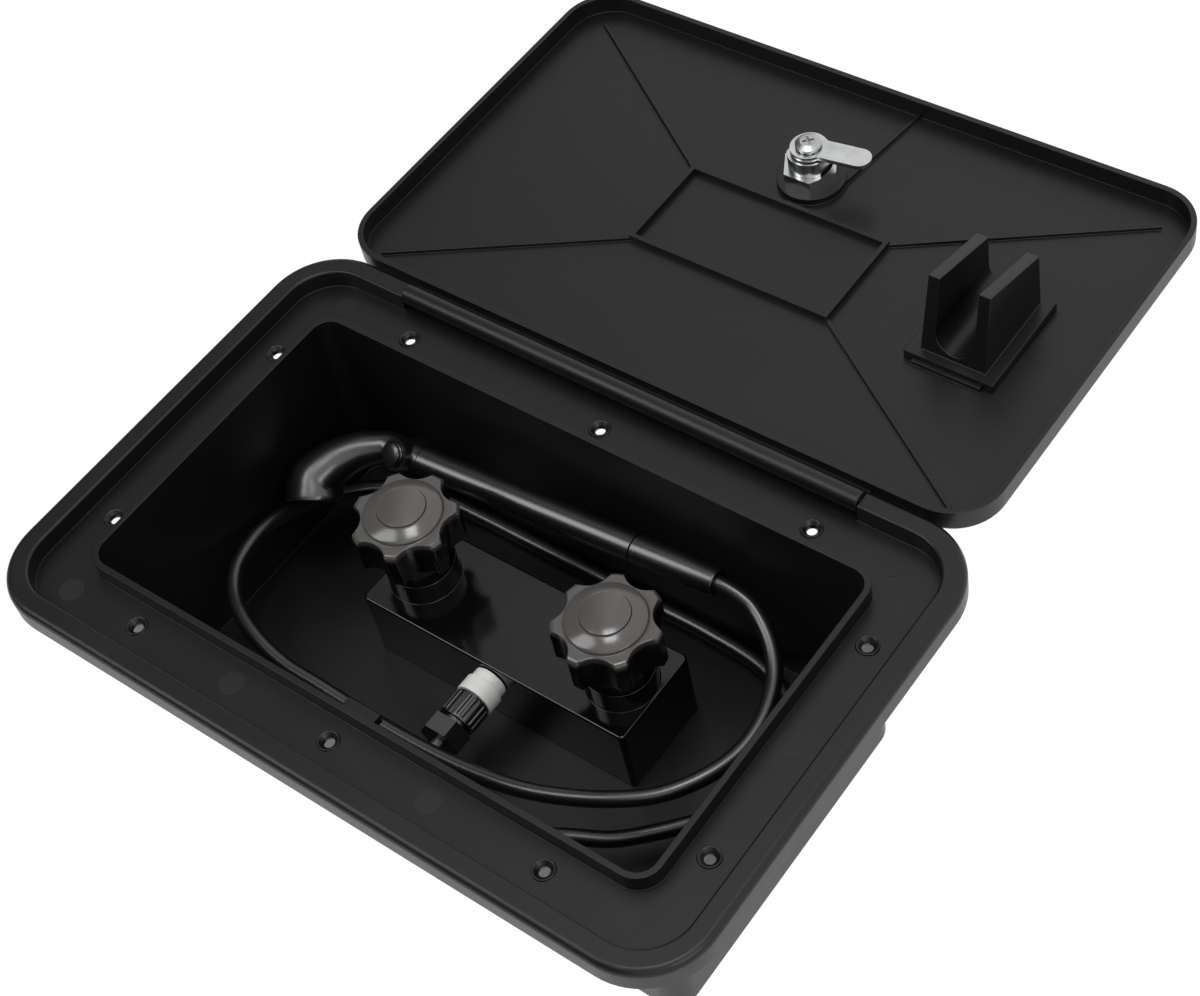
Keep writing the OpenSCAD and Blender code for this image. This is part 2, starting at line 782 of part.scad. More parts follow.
module faucet_body() {
    color(gloss_black)
    difference() {
        union() {
            translate([0, faucet_y, floor_z])
                linear_extrude(block_h - block_round)
                    rounded_rect(block_w, block_d, block_r);
            translate([0, faucet_y, block_top - block_round - cut])
                linear_extrude(block_round + cut)
                    rounded_rect(block_w - 2 * block_round, block_d - 2 * block_round,
                                 block_r - block_round);
            translate([0, faucet_y, block_top])
                ring_sweep(block_w, block_d, block_r) block_edge_profile();
            for (side = [-1, 1])
                at_valve(side) {
                    translate([0, 0, block_top - cut]) cylinder(d = tower_d, h = tower_h + cut);
                    translate([0, 0, floor_z - wall_t - shank_len])
                        cylinder(d = shank_d, h = shank_len + wall_t + cut);
                    translate([0, 0, nut_top - shank_nut_h - 1 - shank_cone_h])
                        cylinder(d1 = shank_d, d2 = shank_root_d, h = shank_cone_h);
                    translate([0, 0, nut_top - shank_nut_h - 1])
                        cylinder(d = shank_root_d, h = floor_z + cut - nut_top + shank_nut_h + 1);
                }
            on_outlet(block_front + 2) cylinder(d = neck_d, h = spout_l + 2);
        }
        for (side = [-1, 1])
            at_valve(side) {
                translate([0, 0, valve_floor]) cylinder(d = valve_d, h = tower_top - valve_floor + cut);
                translate([0, 0, floor_z + 4]) cylinder(d = water_d, h = valve_floor - floor_z);
                translate([0, 0, floor_z - wall_t - shank_len - cut])
                    cylinder(d = shank_d - 7, h = shank_len + wall_t + 5 + cut);
            }
        // mixing passage between the valves, and the way out
        translate([0, faucet_y, outlet_z])
            rotate([0, 90, 0])
                cylinder(d = water_d, h = valve_pitch, center = true);
        on_outlet(faucet_y) cylinder(d = water_d, h = block_d / 2 + spout_l + cut);
    }
}

module shank_seals() {
    color(rubber_black)
    for (side = [-1, 1])
        at_valve(side)
            translate([0, 0, nut_top])
                difference() {
                    cylinder(d = shank_seal_d, h = shank_seal_t);
                    translate([0, 0, -cut])
                        cylinder(d = shank_root_d + 2 * fit_clear, h = shank_seal_t + 2 * cut);
                }
}

module shank_nuts() {
    color(satin_black)
    for (side = [-1, 1])
        at_valve(side)
            translate([0, 0, nut_top - shank_nut_h])
                difference() {
                    hex(shank_nut_af, shank_nut_h);
                    translate([0, 0, -cut])
                        cylinder(d = shank_root_d + 2 * fit_clear, h = shank_nut_h + 2 * cut);
                }
}

module valve_bonnets() {
    thread_l = 14;
    color(satin_black)
    for (side = [-1, 1])
        at_valve(side)
            difference() {
                union() {
                    translate([0, 0, tower_top - thread_l]) cylinder(d = valve_d, h = thread_l);
                    translate([0, 0, tower_top]) hex(bonnet_af, bonnet_hex_h);
                    translate([0, 0, tower_top + bonnet_hex_h - cut])
                        cylinder(d = bonnet_af - 5, h = bonnet_top - tower_top - bonnet_hex_h + cut);
                }
                translate([0, 0, tower_top - thread_l - cut])
                    cylinder(d = stem_d + 2 * run_clear, h = thread_l + bonnet_hex_h + 5);
                // groove of the stem seal
                translate([0, 0, tower_top - 2])
                    cylinder(d = stem_d + 4, h = 2.2);
            }
}

module stem_seals() {
    color(rubber_black)
    for (side = [-1, 1])
        at_valve(side)
            translate([0, 0, tower_top - 0.9])
                rotate_extrude()
                    translate([stem_d / 2 + run_clear + 0.95, 0])
                        circle(0.95, $fn = 24);
}

module valve_stem(side) {
    color(satin_black)
    at_valve(side)
        difference() {
            union() {
                translate([0, 0, stem_foot]) cylinder(d = valve_d - 0.4, h = disc_t);
                translate([0, 0, stem_foot]) cylinder(d = stem_d, h = knob_z - 0.6 - stem_foot);
                translate([0, 0, stem_foot]) cylinder(d = spline_d, h = spline_top - stem_foot);
            }
            translate([0, 0, spline_top - 10]) cylinder(d = knob_screw_d, h = 10 + cut);
        }
}

module valve_washer(side) {
    color(rubber_black)
    at_valve(side)
        translate([0, 0, valve_floor + 0.1]) cylinder(d = valve_d - 2, h = seat_t - 0.1);
}

module knob_profile() {
    edge = 2.5;
    square([knob_d / 2 - edge, knob_h]);
    square([knob_d / 2, knob_h - edge]);
    translate([knob_d / 2 - edge, knob_h - edge]) circle(edge);
}

// Slice of the ball that the cap and the index button share
module cap_dome(d, from) {
    intersection() {
        translate([0, 0, knob_top + cap_h - cap_ball]) sphere(cap_ball, $fn = 96);
        translate([0, 0, from]) cylinder(d = d, h = cap_h + 1);
    }
}

module valve_knob(side) {
    color(smoke_grey)
    at_valve(side)
        difference() {
            union() {
                translate([0, 0, knob_z]) rotate_extrude() knob_profile();
                cap_dome(cap_d, knob_top - cut);
            }
            for (k = [0 : knob_lobes - 1])
                rotate([0, 0, knob_turn[side < 0 ? 0 : 1] + (k + 0.5) * 360 / knob_lobes])
                    translate([knob_d / 2 + flute_r - flute_in, 0, knob_z - cut])
                        cylinder(r = flute_r, h = knob_h + 2 * cut);
            translate([0, 0, index_z])
                cylinder(d = index_d + 2 * fit_clear, h = cap_top - index_z + 1);
            translate([0, 0, web_z])
                cylinder(d = knob_screw_head + 1.4, h = index_z - web_z + cut);
            translate([0, 0, knob_z - cut])
                cylinder(d = knob_screw_d + 0.4, h = index_z - knob_z);
            translate([0, 0, knob_z - cut])
                cylinder(d = spline_d + 2 * fit_clear, h = spline_top + 0.1 - knob_z + cut);
        }
}

module knob_screw(side) {
    color(bright_zinc)
    at_valve(side)
        difference() {
            union() {
                translate([0, 0, spline_top - 8])
                    cylinder(d = knob_screw_d, h = web_z - spline_top + 8.5);
                translate([0, 0, web_z]) cylinder(d = knob_screw_head, h = 2.6);
            }
            for (a = [0, 90])
                translate([0, 0, web_z + 2.6])
                    rotate([0, 0, a])
                        cube([4, 0.9, 2.6], center = true);
        }
}

// Domed cap pressed into the knob; the dome is a slice of a ball
module index_button(side) {
    color(smoke_grey)
    at_valve(side)
        translate([0, 0, index_proud]) cap_dome(index_d, index_z - index_proud);
}

module cold_stem() { valve_stem(-1); }
module hot_stem() { valve_stem(1); }
module cold_washer() { valve_washer(-1); }
module hot_washer() { valve_washer(1); }
module cold_knob() { valve_knob(-1); }
module hot_knob() { valve_knob(1); }
module cold_knob_screw() { knob_screw(-1); }
module hot_knob_screw() { knob_screw(1); }
module cold_index() { index_button(-1); }
module hot_index() { index_button(1); }

// ---- Outlet ----

module outlet_collar() {
    socket_l = spout_l - (block_front - collar_y) + 0.2;
    color("white")
    on_outlet(collar_y)
        difference() {
            union() {
                cylinder(d = collar_d - 2, h = collar_l);
                translate([0, 0, collar_l * 0.38]) cylinder(d = collar_d, h = collar_l * 0.62);
                cylinder(d = neck_d, h = collar_l + collar_neck_l);
            }
            translate([0, 0, -cut]) cylinder(d = neck_d + 2 * fit_clear, h = socket_l + cut);
            translate([0, 0, -cut]) cylinder(d = water_d, h = collar_l + collar_neck_l + 2 * cut);
        }
}

module outlet_coupling() {
    socket_l = collar_neck_l - 0.3 + 0.2;
    ribs = 18;
    color(gloss_black)
    on_outlet(coupling_y)
        difference() {
            union() {
                cylinder(d = coupling_d - 1.2, h = coupling_l);
                for (k = [0 : ribs - 1])
                    rotate([0, 0, 360 * k / ribs])
                        translate([coupling_d / 2 - 1.4, -0.7, 1])
                            cube([1.3, 1.4, coupling_l - 2]);
                cylinder(d = neck_d, h = coupling_l + coupling_neck_l);
            }
            translate([0, 0, -cut]) cylinder(d = neck_d + 2 * fit_clear, h = socket_l + cut);
            translate([0, 0, -cut])
                cylinder(d = water_d, h = coupling_l + coupling_neck_l + 2 * cut);
        }
}

module hose_nut() {
    lip = nut_end - (tail_y - tail_flange);
    color(satin_black)
    on_outlet(nut_y)
        difference() {
            hex(hose_nut_af, hose_nut_l);
            translate([0, 0, -cut])
                cylinder(d = neck_d + 2 * fit_clear, h = hose_nut_l + lip + cut);
            translate([0, 0, -cut])
                cylinder(d = tail_stub_d + 2 * fit_clear, h = hose_nut_l + 2 * cut);
        }
}

// Flanged tail that carries the water into the hose
module hose_tail(stub) {
    difference() {
        union() {
            cylinder(d = neck_d - 1, h = tail_flange);
            cylinder(d = tail_stub_d, h = stub);
        }
        translate([0, 0, -cut]) cylinder(d = tail_stub_d - 2, h = stub + 2 * cut);
    }
}

module hose_seal() {
    difference() {
        cylinder(d = neck_d - 1, h = seal_t);
        translate([0, 0, -cut]) cylinder(d = tail_stub_d - 2, h = seal_t + 2 * cut);
    }
}

module hose_seals() {
    color(rubber_black) {
        on_outlet(tail_y + seal_t) hose_seal();
        on_handle(hose_at - tail_flange - seal_t) sleeve_seal();
    }
}

// The washer in the sleeve is smaller, to pass the sleeve's bore
module sleeve_seal() {
    difference() {
        cylinder(d = sleeve_neck_d - 1, h = seal_t);
        translate([0, 0, -cut]) cylinder(d = tail_stub_d - 2, h = seal_t + 2 * cut);
    }
}

module hose_tails() {
    color(satin_black) {
        on_outlet(tail_y) hose_tail(tail_y - nut_end);
        on_handle(hose_at - tail_flange)
            difference() {
                cylinder(d = sleeve_neck_d - 1, h = tail_flange);
                translate([0, 0, -cut]) cylinder(d = tail_stub_d - 2, h = tail_flange + 2);
            }
    }
}

module shower_hose() {
    path = smooth_path(hose_route, hose_ring_gap);
    color(satin_black)
        tube(path, [for (p = path) hose_d / 2], hose_sides);
}

// ---- Hand shower ----

module wand_handle() {
    color(gloss_black)
    on_handle(head_joint)
        difference() {
            union() {
                cylinder(d = handle_d, h = sleeve_at - head_joint);
                // inner tube, whose front end is the spigot that joins the head
                translate([0, 0, -spigot_l])
                    cylinder(d = sleeve_neck_d,
                             h = spigot_l + hose_at - tail_flange - seal_t - head_joint);
            }
            translate([0, 0, -spigot_l - cut]) cylinder(d = handle_bore - 3, h = handle_len);
        }
}

module wand_sleeve() {
    color(gloss_black)
    on_handle(sleeve_at + 0.15)
        difference() {
            union() {
                cylinder(d = handle_d, h = sleeve_l * 0.55);
                translate([0, 0, sleeve_l * 0.55 - 0.01])
                    cylinder(d1 = handle_d, d2 = sleeve_end_d, h = sleeve_l * 0.45 - 0.14);
            }
            translate([0, 0, -cut])
                cylinder(d = sleeve_neck_d + 2 * fit_clear, h = hose_at - sleeve_at - 0.1 + cut);
            translate([0, 0, -cut]) cylinder(d = hose_d + 0.6, h = sleeve_l + 2 * cut);
        }
}

module wand_valve() {
    color(gloss_black)
    difference() {
        union() {
            on_handle(-neck_l) cylinder(d = handle_d, h = head_joint + neck_l);
            translate(elbow - guide_down * unit(button_dir))
                aim(button_dir)
                    cylinder(d = guide_d, h = guide_up + guide_down);
        }
        // bore of the flow button
        translate(elbow)
            aim(button_dir)
                translate([0, 0, -button_skirt])
                    cylinder(d = button_d + 2 * run_clear, h = button_skirt + guide_up + cut);
        // socket of the handle's spigot, and the water way
        on_handle(head_joint - spigot_socket)
            cylinder(d = sleeve_neck_d + 2 * fit_clear, h = spigot_socket + cut);
        on_handle(-neck_l - cut) cylinder(d = handle_bore - 3, h = head_joint + neck_l);
    }
}

module wand_head() {
    start = [each (handle_start - neck_l * handle_dir), handle_d / 2];
    next = [each (handle_start - (neck_l + 1.5) * handle_dir), handle_d / 2];
    line = smooth_path(concat([start, next], head_line), 5);
    color(gloss_black)
    difference() {
        tube([for (p = line) [p[0], p[1], p[2]]], [for (p = line) p[3]], 20);
        // socket of the spray plate
        translate(face_at - (plate_spray_t + face_recess) * unit(face_dir))
            aim(face_dir)
                cylinder(d = face_d - 3, h = 10);
    }
}

module spray_plate() {
    color(gloss_black)
    translate(face_at - (plate_spray_t + face_recess) * unit(face_dir))
        aim(face_dir)
            difference() {
                cylinder(d = face_d - 3 - 2 * fit_clear, h = plate_spray_t);
                for (ring = spray_rings)
                    for (k = [0 : ring[1] - 1])
                        rotate([0, 0, 360 * k / ring[1]])
                            translate([ring[0], 0, -cut])
                                cylinder(d = 1.2, h = plate_spray_t + 2 * cut, $fn = 16);
            }
}

module flow_button() {
    crown = guide_up - button_travel / 2;
    skirt_z = button_travel - button_skirt + 0.2;
    color(satin_black)
    translate(elbow)
        aim(button_dir)
            difference() {
                union() {
                    translate([0, 0, skirt_z])
                        cylinder(d = button_d, h = guide_up + 1 - skirt_z);
                    translate([0, 0, guide_up + 1])
                        cylinder(d1 = button_d, d2 = button_d - 3, h = button_rise - 1);
                }
                translate([0, 0, -button_skirt - cut])
                    cylinder(d = spring_d + 0.6, h = button_skirt + crown + cut);
            }
}

module button_spring() {
    spring_l = button_skirt + guide_up - button_travel / 2;
    color(bright_zinc)
    translate(elbow)
        aim(button_dir)
            translate([0, 0, -button_skirt])
                difference() {
                    cylinder(d = spring_d, h = spring_l);
                    translate([0, 0, -cut])
                        cylinder(d = spring_d - 2 * spring_wire, h = spring_l + 2 * cut);
                }
}

hose_path = smooth_path(hose_route, hose_ring_gap / 4);
hose_gaps = [for (i = [0 : 2 : len(hose_path) - 1])
    for (j = [i + 14 : len(hose_path) - 1]) norm(hose_path[i] - hose_path[j])];
echo(hose_length_mm = path_length(hose_path), hose_least_gap_mm = min(hose_gaps) - hose_d);

housing();
hinge_pin();
lid();
lock_barrel();
lock_nut();
lock_plug();
lock_cam();
lock_washer();
lock_screw();
shower_clip();
faucet_body();
shank_seals();
shank_nuts();
valve_bonnets();
stem_seals();
cold_stem();
hot_stem();
cold_washer();
hot_washer();
cold_knob();
hot_knob();
cold_knob_screw();
hot_knob_screw();
cold_index();
hot_index();
outlet_collar();
outlet_coupling();
hose_nut();
hose_seals();
hose_tails();
shower_hose();
wand_handle();
wand_sleeve();
wand_valve();
wand_head();
spray_plate();
flow_button();
button_spring();
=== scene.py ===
import math
import bmesh
import bpy
from mathutils import Matrix, Vector


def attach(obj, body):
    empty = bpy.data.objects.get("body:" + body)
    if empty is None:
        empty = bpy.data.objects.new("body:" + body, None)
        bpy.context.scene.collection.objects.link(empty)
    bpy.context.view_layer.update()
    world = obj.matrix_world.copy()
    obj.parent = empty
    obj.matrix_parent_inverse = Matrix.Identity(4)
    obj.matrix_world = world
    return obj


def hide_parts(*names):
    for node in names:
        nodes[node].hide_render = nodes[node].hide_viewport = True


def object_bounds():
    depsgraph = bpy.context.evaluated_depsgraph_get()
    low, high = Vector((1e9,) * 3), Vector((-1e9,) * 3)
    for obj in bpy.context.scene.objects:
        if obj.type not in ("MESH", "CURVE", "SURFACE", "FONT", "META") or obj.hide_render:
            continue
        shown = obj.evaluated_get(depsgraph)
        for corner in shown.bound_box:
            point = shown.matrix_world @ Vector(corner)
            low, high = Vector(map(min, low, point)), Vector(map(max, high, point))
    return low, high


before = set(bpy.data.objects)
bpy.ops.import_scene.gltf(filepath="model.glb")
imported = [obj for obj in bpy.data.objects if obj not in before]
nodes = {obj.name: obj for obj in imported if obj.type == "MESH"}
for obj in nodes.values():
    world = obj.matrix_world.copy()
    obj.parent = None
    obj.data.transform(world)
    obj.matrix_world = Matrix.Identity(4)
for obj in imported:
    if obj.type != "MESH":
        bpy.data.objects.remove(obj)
cad_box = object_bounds()
MM = 0.001


# ---- Camera ----

def make_camera():
    data = bpy.data.cameras.new("camera")
    data.lens = 65.47
    data.sensor_width = 36
    data.sensor_fit = "HORIZONTAL"
    data.clip_start = 0.01
    data.clip_end = 20
    camera = bpy.data.objects.new("camera", data)
    right = Vector((0.7943, 0.5874, -0.1552))
    up = Vector((-0.3898, 0.6887, 0.6114))
    back = Vector((0.4660, -0.4252, 0.7760))
    turn = Matrix((right, up, back)).transposed().to_4x4()
    camera.matrix_world = Matrix.Translation((0.4136, -0.3024, 0.6568)) @ turn
    bpy.context.scene.collection.objects.link(camera)
    bpy.context.scene.camera = camera


make_camera()


# ---- Hose ----

HOSE_D = 6.8
# longest step between two points of the hose's curve, in millimetres
HOSE_STEP = 2.0
# route of the hose, in millimetres, from the hand shower to the outlet
HOSE_ROUTE = [
    (51.9, 61.2, -28.6), (59.95, 61.6, -28.3), (68, 62, -28), (78, 62, -29.5), (86.5, 60, -31.5),
    (98, 52.5, -35), (107, 41, -38), (112.5, 25, -39.5), (112.5, 9, -41), (107, -6, -42),
    (96.5, -20.5, -43), (82, -31, -44), (64.5, -39, -46), (46.5, -44.5, -48), (24, -47.5, -50.5),
    (-0.5, -48.7, -52), (-29.5, -48.7, -52.5), (-57, -48, -52.5), (-74, -47.5, -52.5),
    (-90.5, -44.5, -52), (-107, -38.5, -51.5), (-118, -31, -51.5), (-126, -19.5, -51),
    (-130, -2, -52), (-130, 15, -57), (-126, 36, -66), (-115, 54, -74), (-96, 65, -79.5),
    (-68, 68, -82), (-38, 68, -82), (-8, 68, -82), (22, 68, -82), (52, 68, -82), (81, 65, -82),
    (103, 54, -82), (115, 36, -81), (117, 16, -79), (110, 0, -76), (101, -11.5, -74),
    (90.5, -23.5, -73), (79, -34.5, -72), (65, -43, -70), (51, -53, -66.5), (37, -62, -63),
    (23, -66.5, -60.5), (11, -63.5, -59.5), (3, -55.5, -59.5), (0, -47, -59.5), (0, -40.3, -59.5),
]


def smooth_route(points, gap):
    """Points of the smooth line through the given ones, at most gap apart."""
    points = [Vector(p) for p in points]
    last = len(points) - 1
    line = []
    for i in range(last):
        a, b, c, d = (points[max(i - 1, 0)], points[i], points[i + 1],
                      points[min(i + 2, last)])
        steps = math.ceil((c - b).length / gap)
        for k in range(steps):
            t = k / steps
            line.append(0.5 * (2 * b + (c - a) * t + (2 * a - 5 * b + 4 * c - d) * t * t
                               + (3 * b - a - 3 * c + d) * t ** 3))
    line.append(points[last])
    return line


def link(obj):
    bpy.context.scene.collection.objects.link(obj)
    return obj


def link_shape(name, shape, material, smooth=False):
    """An object made of a finished bmesh, with one material."""
    mesh = bpy.data.meshes.new(name)
    shape.to_mesh(mesh)
    shape.free()
    mesh.materials.append(material)
    if smooth:
        mesh.shade_smooth()
    return link(bpy.data.objects.new(name, mesh))


def tube_curve(name, line, radius):
    """A curve of one open spline through points, as thick as radius; all in millimetres."""
    data = bpy.data.curves.new(name, "CURVE")
    data.dimensions = "3D"
    data.bevel_resolution = 8
    data.use_fill_caps = True
    # a curve's box grows by its points' radii, so those are in metres and the bevel is 1
    data.bevel_depth = 1.0
    spline = data.splines.new("POLY")
    spline.points.add(len(line) - 1)
    for point, place in zip(spline.points, line):
        point.co = (*(place * MM), 1)
        point.radius = radius * MM
    spline.use_smooth = True
    return link(bpy.data.objects.new(name, data))


hose_line = smooth_route(HOSE_ROUTE[::-1], HOSE_STEP)
hose = tube_curve("hose", hose_line, HOSE_D / 2)
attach(hose, "box")
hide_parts("shower_hose")


# ---- Materials ----

def linear(code):
    """A linear colour from an sRGB hex code."""
    parts = [int(code[i:i + 2], 16) / 255 for i in (1, 3, 5)]
    return (*[c / 12.92 if c <= 0.04045 else ((c + 0.055) / 1.055) ** 2.4 for c in parts], 1)


def add(tree, kind, inputs=None, **settings):
    """Adds a shader node; an input is a value or the output socket that feeds it."""
    made = tree.nodes.new("ShaderNode" + kind)
    for key, value in settings.items():
        setattr(made, key, value)
    for key, value in (inputs or {}).items():
        if isinstance(value, bpy.types.NodeSocket):
            tree.links.new(value, made.inputs[key])
        else:
            made.inputs[key].default_value = value
    return made


def start_material(name):
    material = bpy.data.materials.new(name)
    material.use_nodes = True
    tree = material.node_tree
    tree.nodes.clear()
    place = add(tree, "TexCoord").outputs["Object"]
    return material, tree, place


def end_material(tree, shader):
    add(tree, "OutputMaterial", {"Surface": shader.outputs[0]})


def ramp(tree, factor, stops):
    """A colour ramp between hex colours at given places."""
    made = add(tree, "ValToRGB", {"Fac": factor})
    elements = made.color_ramp.elements
    while len(elements) < len(stops):
        elements.new(0.5)
    for element, (at, code) in zip(elements, stops):
        element.position = at
        element.color = linear(code)
    return made.outputs["Color"]


def spread(tree, factor, low, high):
    """A 0 to 1 factor as a number from low to high."""
    return add(tree, "MapRange", {"Value": factor, "To Min": low, "To Max": high}).outputs[0]


def noise(tree, place, size_mm, detail=2.0, rough=0.5):
    """Noise with features about size_mm wide."""
    return add(tree, "TexNoise", {"Vector": place, "Scale": 1 / (size_mm * MM),
                                  "Detail": detail, "Roughness": rough}).outputs["Fac"]


def bump(tree, height, depth_mm, below=None):
    """A normal bent by a height, on top of the normal below."""
    inputs = {"Height": height, "Distance": depth_mm * MM, "Strength": 1.0}
    if below is not None:
        inputs["Normal"] = below
    return add(tree, "Bump", inputs).outputs["Normal"]


def moulded_plastic(name, dark, pale, low, high, grain_mm, grain_deep, wave_deep=0.0,
                    ior=1.42):
    """Injection-moulded plastic: a fine grain of the mould and slow waves of shrinkage."""
    material, tree, place = start_material(name)
    grain = noise(tree, place, grain_mm, 3.0, 0.6)
    cloud = noise(tree, place, 38, 3.0, 0.55)
    wave = noise(tree, place, 22, 1.0)
    normal = bump(tree, wave, wave_deep) if wave_deep else None
    normal = bump(tree, grain, grain_deep, normal)
    shader = add(tree, "BsdfPrincipled", {
        "Base Color": ramp(tree, cloud, [(0.3, dark), (0.7, pale)]),
        "Roughness": spread(tree, cloud, low, high),
        "IOR": ior, "Normal": normal})
    end_material(tree, shader)
    return material


def plated_metal(name, pale, dark, low, high):
    """Plated or drawn metal: bright, faintly blue, with soft pits and a worn sheen."""
    material, tree, place = start_material(name)
    cloud = noise(tree, place, 6, 4.0, 0.6)
    pits = noise(tree, place, 0.5, 2.0)
    shader = add(tree, "BsdfPrincipled", {
        "Base Color": ramp(tree, cloud, [(0.25, dark), (0.75, pale)]),
        "Metallic": 1.0, "Roughness": spread(tree, cloud, low, high),
        "Normal": bump(tree, pits, 0.02)})
    end_material(tree, shader)
    return material


def soft_rubber(name, code, rough):
    """Nitrile rubber: matt, with a dusty bloom."""
    material, tree, place = start_material(name)
    bloom = noise(tree, place, 3, 3.0)
    shader = add(tree, "BsdfPrincipled", {
        "Base Color": ramp(tree, bloom, [(0.3, code), (0.75, "#2c2c2b")]),
        "Roughness": spread(tree, bloom, rough - 0.1, rough + 0.1),
        "IOR": 1.5, "Normal": bump(tree, noise(tree, place, 0.6), 0.03)})
    end_material(tree, shader)
    return material


def smoky_polycarbonate(name, top_colour, painted_shade, top_mm, deep_mm):
    """Tinted clear plastic: brownish grey on top, with painted shade that turns it black down its
    skirt.
    """
    material, tree, place = start_material(name)
    height = add(tree, "SeparateXYZ", {0: place}).outputs["Z"]
    # painted shade: the colour darkens from top_mm down to deep_mm and is black below
    skirt_shade = add(tree, "MapRange", {"Value": height, "From Min": deep_mm * MM,
                                   "From Max": top_mm * MM}).outputs[0]
    streak = noise(tree, place, 5, 3.0, 0.6)
    shade = add(tree, "Math", {0: streak, 1: 0.35, 2: -0.17}, operation="MULTIPLY_ADD")
    shade = add(tree, "Math", {0: shade.outputs[0], 1: skirt_shade}, operation="ADD",
                use_clamp=True)
    shader = add(tree, "BsdfPrincipled", {
        "Base Color": ramp(tree, shade.outputs[0], [(0.0, painted_shade), (1.0, top_colour)]),
        "Roughness": spread(tree, streak, 0.12, 0.22), "IOR": 1.58,
        "Normal": bump(tree, noise(tree, place, 9, 1.0), 0.06)})
    end_material(tree, shader)
    return material


# ABS moulded in a spark-eroded tool: an even satin black with a fine grain
satin_abs = moulded_plastic("abs_satin", "#0c0c0c", "#101010", 0.32, 0.42, 0.7, 0.012, 0.05)
# the same plastic where a mould pin has left it duller
pin_abs = moulded_plastic("abs_pin_mark", "#0e0e0e", "#151515", 0.42, 0.58, 0.5, 0.03)
# ABS moulded in a polished tool: near-black and glossy
gloss_abs = moulded_plastic("abs_gloss", "#070707", "#0b0b0b", 0.1, 0.17, 1.2, 0.002, 0.04,
                            1.48)
# polycarbonate tinted with a little carbon, with painted shade darkening its skirt
smoke = smoky_polycarbonate("polycarbonate_smoke", "#504e4c", "#070707", -8.5, -12.5)
# acetal, undyed: a cold white that shines where it is turned
white_acetal = moulded_plastic("acetal_white", "#dededb", "#ecece9", 0.25, 0.35, 0.8, 0.006)
# ABS of the hand shower, off a vapour-blasted tool: half gloss, so its highlights spread
wand_abs = moulded_plastic("abs_half_gloss", "#0b0b0b", "#111111", 0.24, 0.32, 0.9, 0.004, 0.03,
                           1.85)
# glass-filled nylon, dyed black: matt, with a coarse skin
black_nylon = moulded_plastic("nylon_black", "#181818", "#222221", 0.5, 0.62, 0.5, 0.03, 0.0, 1.5)
# soft vinyl, extruded: smooth and wet-looking
vinyl = moulded_plastic("vinyl_black", "#0f0f0f", "#161616", 0.26, 0.34, 2.5, 0.01, 0.0, 1.75)
# zinc plate on the die-cast lock
zinc = plated_metal("zinc_plate", "#d7d8d8", "#b9bbbc", 0.16, 0.3)
# drawn steel of the pin, the screws and the spring: darker and less bright
drawn_steel = plated_metal("steel_drawn", "#c2c3c4", "#9c9ea0", 0.25, 0.4)
# nitrile rubber of the seals and washers
rubber = soft_rubber("rubber_nitrile", "#121212", 0.7)

NODE_FINISH = {
    satin_abs: ["housing", "lid", "shower_clip"],
    gloss_abs: ["faucet_body"],
    wand_abs: ["wand_handle", "wand_sleeve", "wand_valve", "wand_head", "flow_button",
               "outlet_coupling", "hose_nut", "spray_plate"],
    smoke: ["cold_knob", "hot_knob", "cold_index", "hot_index"],
    white_acetal: ["outlet_collar"],
    black_nylon: ["shank_nuts", "valve_bonnets", "cold_stem", "hot_stem", "hose_tails"],
    vinyl: ["shower_hose"],
    zinc: ["lock_barrel", "lock_nut", "lock_plug", "lock_cam", "lock_washer"],
    drawn_steel: ["hinge_pin", "lock_screw", "cold_knob_screw", "hot_knob_screw",
                  "button_spring"],
    rubber: ["shank_seals", "stem_seals", "cold_washer", "hot_washer", "hose_seals"],
}
for finish, names in NODE_FINISH.items():
    for name in names:
        for material_slot in nodes[name].material_slots:
            material_slot.material = finish
hose.data.materials.append(vinyl)


# ---- Hand shower ----

# both ends of the hand shower's straight part, and its radius, in millimetres
HANDLE_START = Vector((-93, 54, -34))
HANDLE_END = Vector((68, 62, -28))
HANDLE_DIR = (HANDLE_END - HANDLE_START).normalized()
HANDLE_R = 6.5
# from the start of the handle back to the first ring of the head
NECK = 2.53
# centre and radius of the rings along the bend of the head
HEAD_LINE = [(-102, 51.3, -35, 7.1), (-109, 46.5, -36.3, 8.1), (-115, 40, -38.6, 9.4),
             (-118.8, 33, -41.3, 10.9), (-120.3, 27.4, -44, 12), (-117.5, 22, -48.4, 13)]
FACE_DIR = Vector((0.39, -0.69, -0.61)).normalized()
# height over the last ring and radius of the rounded rim and of the recess inside it
HEAD_RIM = [(0.35, 12.85), (0.6, 12.5), (0.65, 12.1), (0.5, 11.7), (-0.7, 11.6), (-0.9, 11.55)]
# edges sharper than this stay creased, in degrees
CREASE = 50


def sweep(name, rings, sides):
    """A tube through rings of (centre, direction, radius) in millimetres, capped at both ends."""
    shape = bmesh.new()
    loop = bmesh.ops.create_circle(shape, segments=sides, radius=1.0)["verts"]
    edges = list({edge for v in loop for edge in v.link_edges})
    at = Matrix.Identity(4)
    for index, (centre, way, radius) in enumerate(rings):
        side = Vector((0, 0, 1)).cross(way).normalized()
        turn = Matrix((side, way.cross(side), way)).transposed().to_4x4()
        here = Matrix.Translation(centre * MM) @ turn @ Matrix.Scale(radius * MM, 4)
        if index:
            grown = bmesh.ops.extrude_edge_only(shape, edges=edges)["geom"]
            loop = [g for g in grown if isinstance(g, bmesh.types.BMVert)]
            edges = [g for g in grown if isinstance(g, bmesh.types.BMEdge)]
        bmesh.ops.transform(shape, matrix=here @ at.inverted(), verts=loop)
        at = here
    bmesh.ops.holes_fill(shape, edges=[edge for edge in shape.edges if edge.is_boundary])
    bmesh.ops.recalc_face_normals(shape, faces=shape.faces)
    piece = link_shape(name, shape, wand_abs, smooth=True)
    keep_creases(piece)
    return piece


